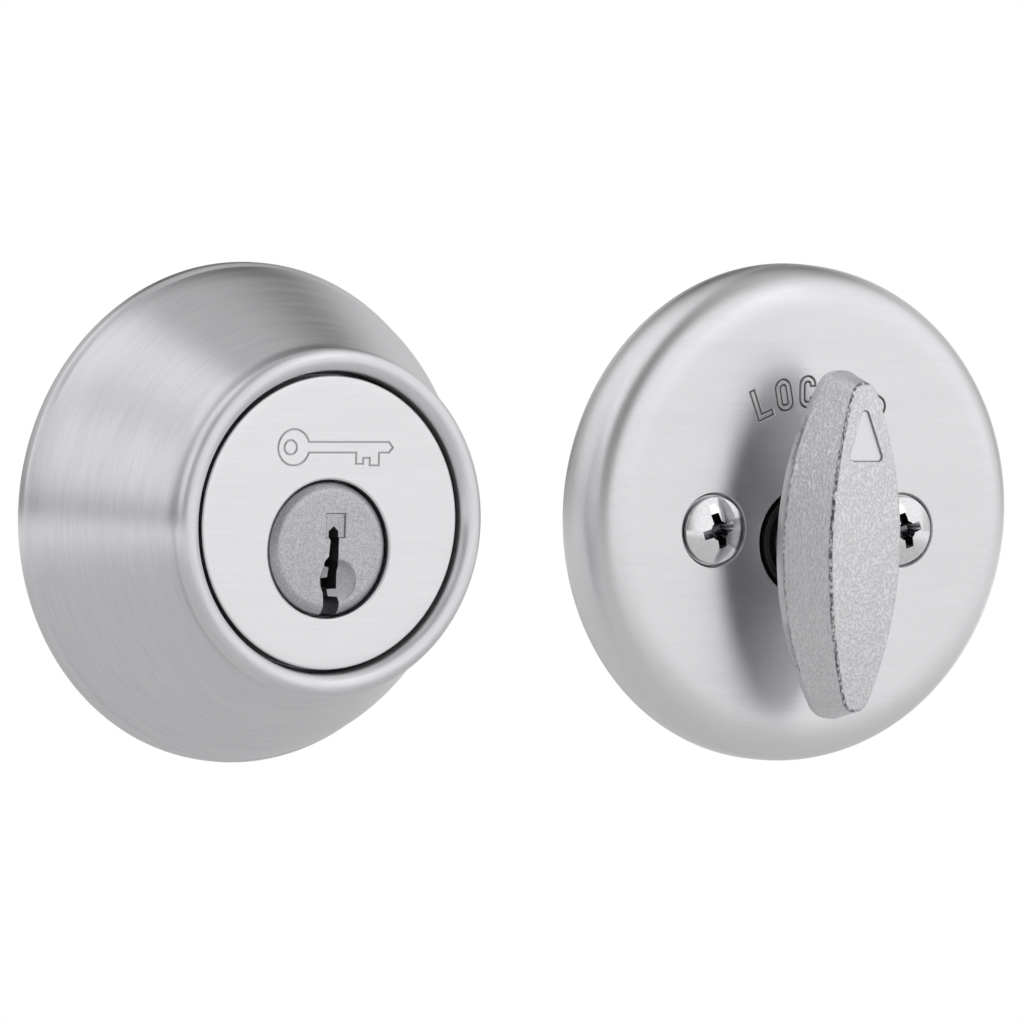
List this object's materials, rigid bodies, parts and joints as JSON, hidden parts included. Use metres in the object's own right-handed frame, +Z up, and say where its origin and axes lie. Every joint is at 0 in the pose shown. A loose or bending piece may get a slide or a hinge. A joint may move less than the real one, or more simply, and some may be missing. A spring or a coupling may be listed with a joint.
{
  "type": "single cylinder deadbolt lock trim",
  "caption": "Round door deadbolt trim in two halves: flared key cylinder with keyed plug and tail bar, and dished rose with a lens-shaped thumbturn and visible screws.",
  "frame": {"origin": "the point where the key's axis meets the door face, on the back plane of both halves", "axes": "-Y out of the door towards the viewer, +Z up, +X from the key side towards the thumbturn side"},
  "size_m": [0.1506, 0.076, 0.0665],
  "materials": {
    "satin_chrome": "brushed satin chrome plate, soft sheen",
    "cast_satin_chrome": "satin chrome plate over a leather-grained casting",
    "blasted_plug_metal": "bead-blasted, matt grain",
    "cast_zinc": "as-cast zinc alloy",
    "zinc_plated_steel": "bright zinc plate",
    "bright_screw_steel": "polished nickel plate",
    "brass": "turned brass",
    "black_acetal": "moulded, black"
  },
  "bodies": {
    "door_trim": {"exterior_collar": "satin_chrome", "face_disc": "satin_chrome", "cylinder_housing": "cast_zinc", "spring_cover": "brass", "tailpiece_clip": "zinc_plated_steel", "interior_rose": "satin_chrome", "backing_plate": "zinc_plated_steel", "turn_bushing": "black_acetal", "mounting_screw_left": "bright_screw_steel", "mounting_screw_right": "bright_screw_steel", "pin_spring_1": "zinc_plated_steel", "pin_spring_2": "zinc_plated_steel", "pin_spring_3": "zinc_plated_steel", "pin_spring_4": "zinc_plated_steel", "pin_spring_5": "zinc_plated_steel"},
    "key_plug": {"plug": "blasted_plug_metal", "plug_clip": "zinc_plated_steel", "key_pin_1": "brass", "key_pin_2": "brass", "key_pin_3": "brass", "key_pin_4": "brass", "key_pin_5": "brass"},
    "driver_1": {"driver_pin_1": "zinc_plated_steel"},
    "driver_2": {"driver_pin_2": "zinc_plated_steel"},
    "driver_3": {"driver_pin_3": "zinc_plated_steel"},
    "driver_4": {"driver_pin_4": "zinc_plated_steel"},
    "driver_5": {"driver_pin_5": "zinc_plated_steel"},
    "tail_bar": {"tailpiece": "zinc_plated_steel"},
    "turn": {"thumbturn": "cast_satin_chrome", "turn_washer": "zinc_plated_steel", "turn_clip": "zinc_plated_steel"}
  },
  "joints": [
    {"name": "plug_turn", "type": "hinge", "parent": "door_trim", "child": "key_plug", "pos_m": [0, 0, 0], "axis": [0, 1, 0], "range_deg": [-90, 90]},
    {"name": "thumbturn_turn", "type": "hinge", "parent": "door_trim", "child": "turn", "pos_m": [0.084, 0, 0], "axis": [0, -1, 0], "range_deg": [0, 90]},
    {"name": "tailpiece_turn", "type": "hinge", "parent": "door_trim", "child": "tail_bar", "pos_m": [0, 0, 0], "axis": [0, 1, 0], "range_deg": [0, 90]},
    {"name": "driver_lift_1", "type": "slide", "parent": "door_trim", "child": "driver_1", "axis": [0, 0, 1], "range_m": [0, 0.0015], "stiffness_N_per_m": 60, "springref_m": -0.004, "deforming": ["pin_spring_1"]},
    {"name": "driver_lift_2", "type": "slide", "parent": "door_trim", "child": "driver_2", "axis": [0, 0, 1], "range_m": [0, 0.0015], "stiffness_N_per_m": 60, "springref_m": -0.004, "deforming": ["pin_spring_2"]},
    {"name": "driver_lift_3", "type": "slide", "parent": "door_trim", "child": "driver_3", "axis": [0, 0, 1], "range_m": [0, 0.0015], "stiffness_N_per_m": 60, "springref_m": -0.004, "deforming": ["pin_spring_3"]},
    {"name": "driver_lift_4", "type": "slide", "parent": "door_trim", "child": "driver_4", "axis": [0, 0, 1], "range_m": [0, 0.0015], "stiffness_N_per_m": 60, "springref_m": -0.004, "deforming": ["pin_spring_4"]},
    {"name": "driver_lift_5", "type": "slide", "parent": "door_trim", "child": "driver_5", "axis": [0, 0, 1], "range_m": [0, 0.0015], "stiffness_N_per_m": 60, "springref_m": -0.004, "deforming": ["pin_spring_5"]}
  ],
  "couplings": [
    {"joint": "tailpiece_turn", "follows": "thumbturn_turn", "ratio": 1}
  ]
}
